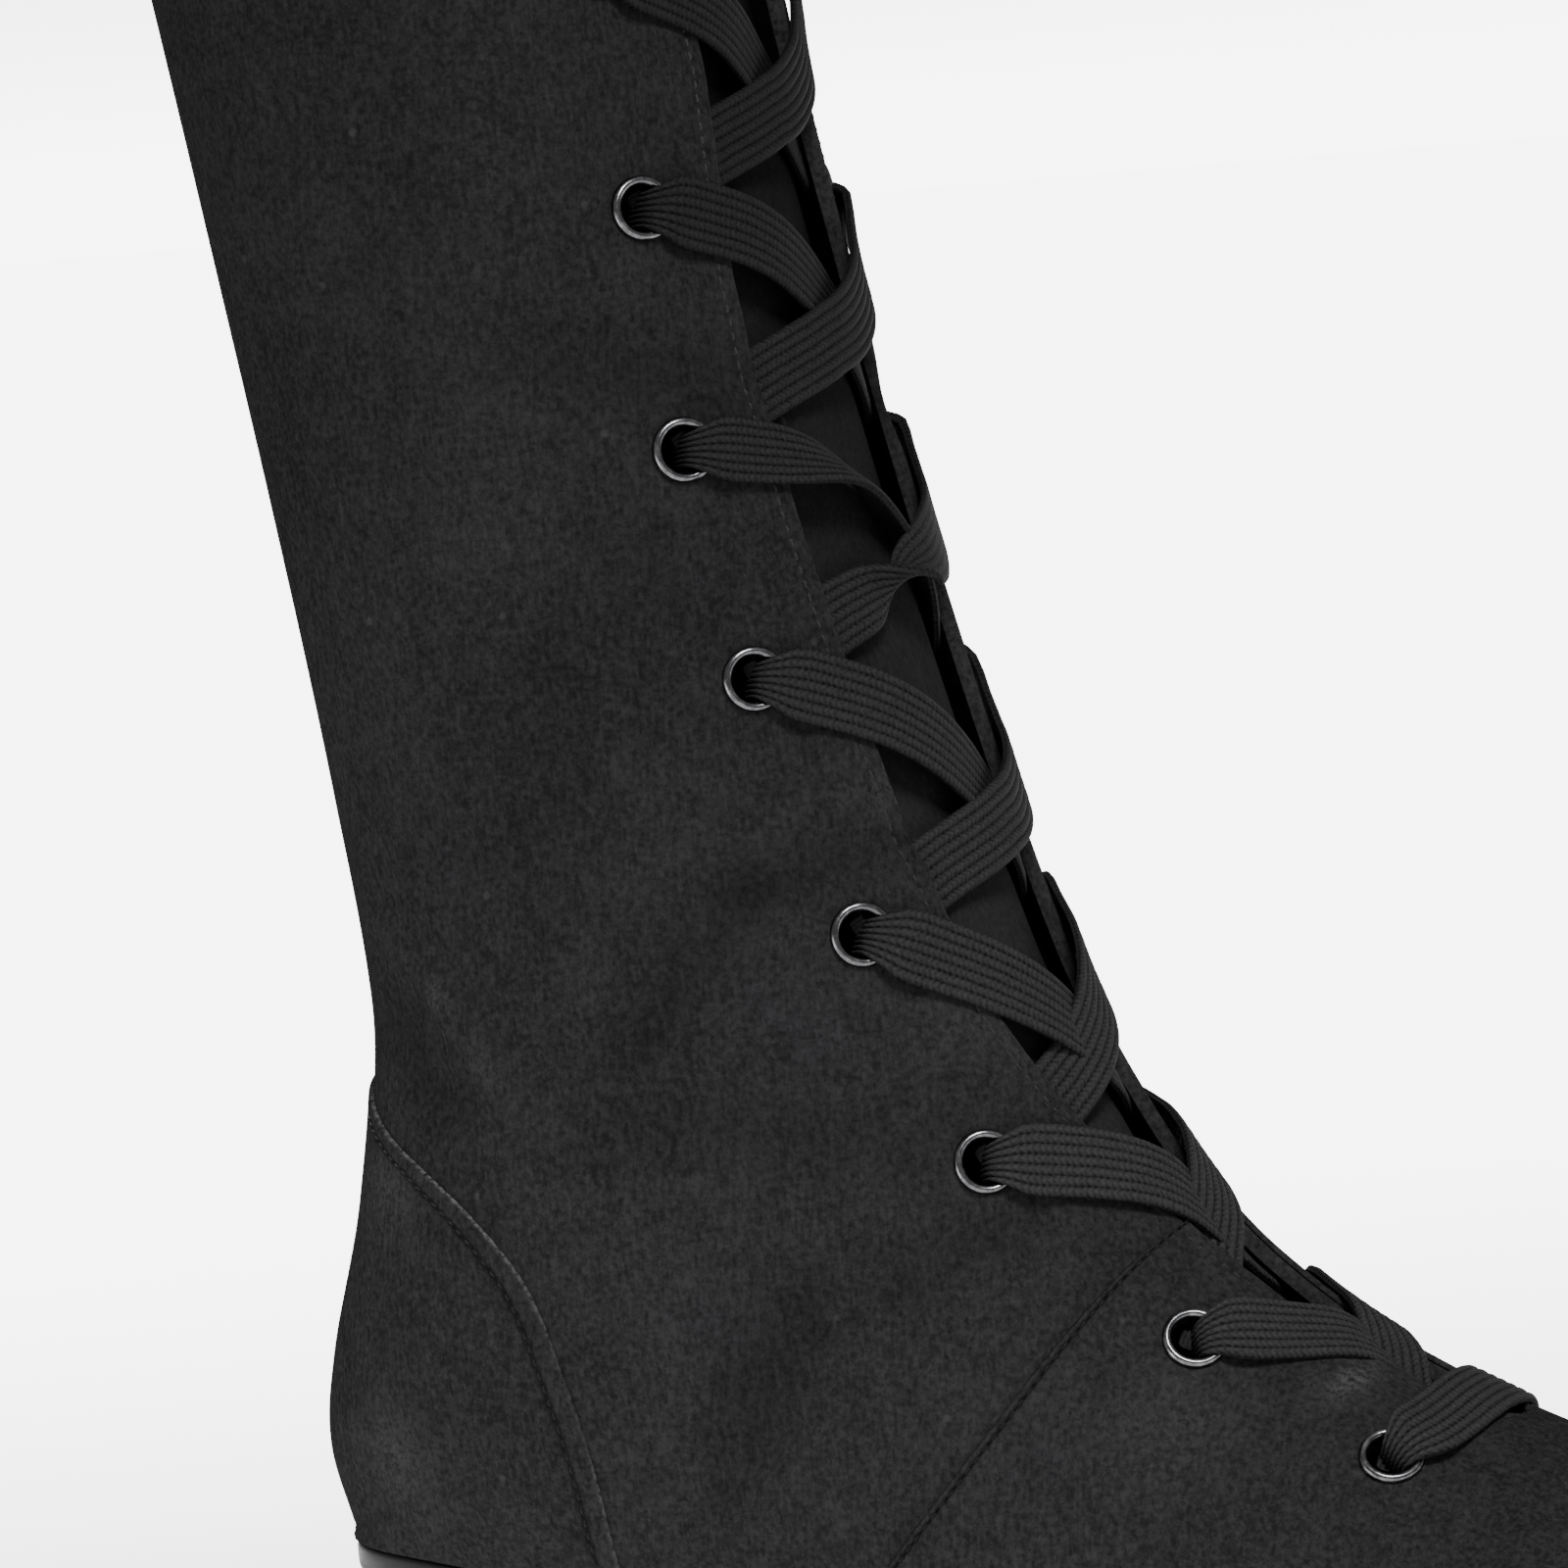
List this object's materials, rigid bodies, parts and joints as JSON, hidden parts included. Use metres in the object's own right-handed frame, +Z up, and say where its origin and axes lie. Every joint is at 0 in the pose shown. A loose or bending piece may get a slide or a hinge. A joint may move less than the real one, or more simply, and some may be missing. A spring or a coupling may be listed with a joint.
{
  "type": "lace-up jazz boot",
  "caption": "Heeled jazz boot for the right foot: hollow suede shaft and foot shaped on a last, lacing through eyelets over a tongue, counter and vamp overlays, thin sole on a block heel.",
  "frame": {"origin": "on the floor, under the middle of the boot's box", "axes": "+X to the toe, +Y to the inner side of the foot, +Z up the shaft"},
  "size_m": [0.2644, 0.0937, 0.3034],
  "materials": {
    "suede": "matt black nubuck",
    "lining": "matt black",
    "lace": "flat woven, ribbed",
    "eyelet_metal": "blackened, worn bright on the rim",
    "sole": "satin black"
  },
  "bodies": {
    "root": {"upper": "suede", "counter": "suede", "vamp": "suede", "tongue": "lining", "insole": "lining", "outsole": "sole", "heel": "sole", "eyelet_outer_1": "eyelet_metal", "eyelet_outer_2": "eyelet_metal", "eyelet_outer_3": "eyelet_metal", "eyelet_outer_4": "eyelet_metal", "eyelet_outer_5": "eyelet_metal", "eyelet_outer_6": "eyelet_metal", "eyelet_outer_7": "eyelet_metal", "eyelet_outer_8": "eyelet_metal", "eyelet_outer_9": "eyelet_metal", "eyelet_inner_1": "eyelet_metal", "eyelet_inner_2": "eyelet_metal", "eyelet_inner_3": "eyelet_metal", "eyelet_inner_4": "eyelet_metal", "eyelet_inner_5": "eyelet_metal", "eyelet_inner_6": "eyelet_metal", "eyelet_inner_7": "eyelet_metal", "eyelet_inner_8": "eyelet_metal", "eyelet_inner_9": "eyelet_metal", "lace_crossing_1": "lace", "lace_crossing_2": "lace", "lace_crossing_3": "lace", "lace_crossing_4": "lace", "lace_crossing_5": "lace", "lace_crossing_6": "lace", "lace_crossing_7": "lace", "lace_crossing_8": "lace", "lace_bar": "lace"}
  },
  "joints": []
}
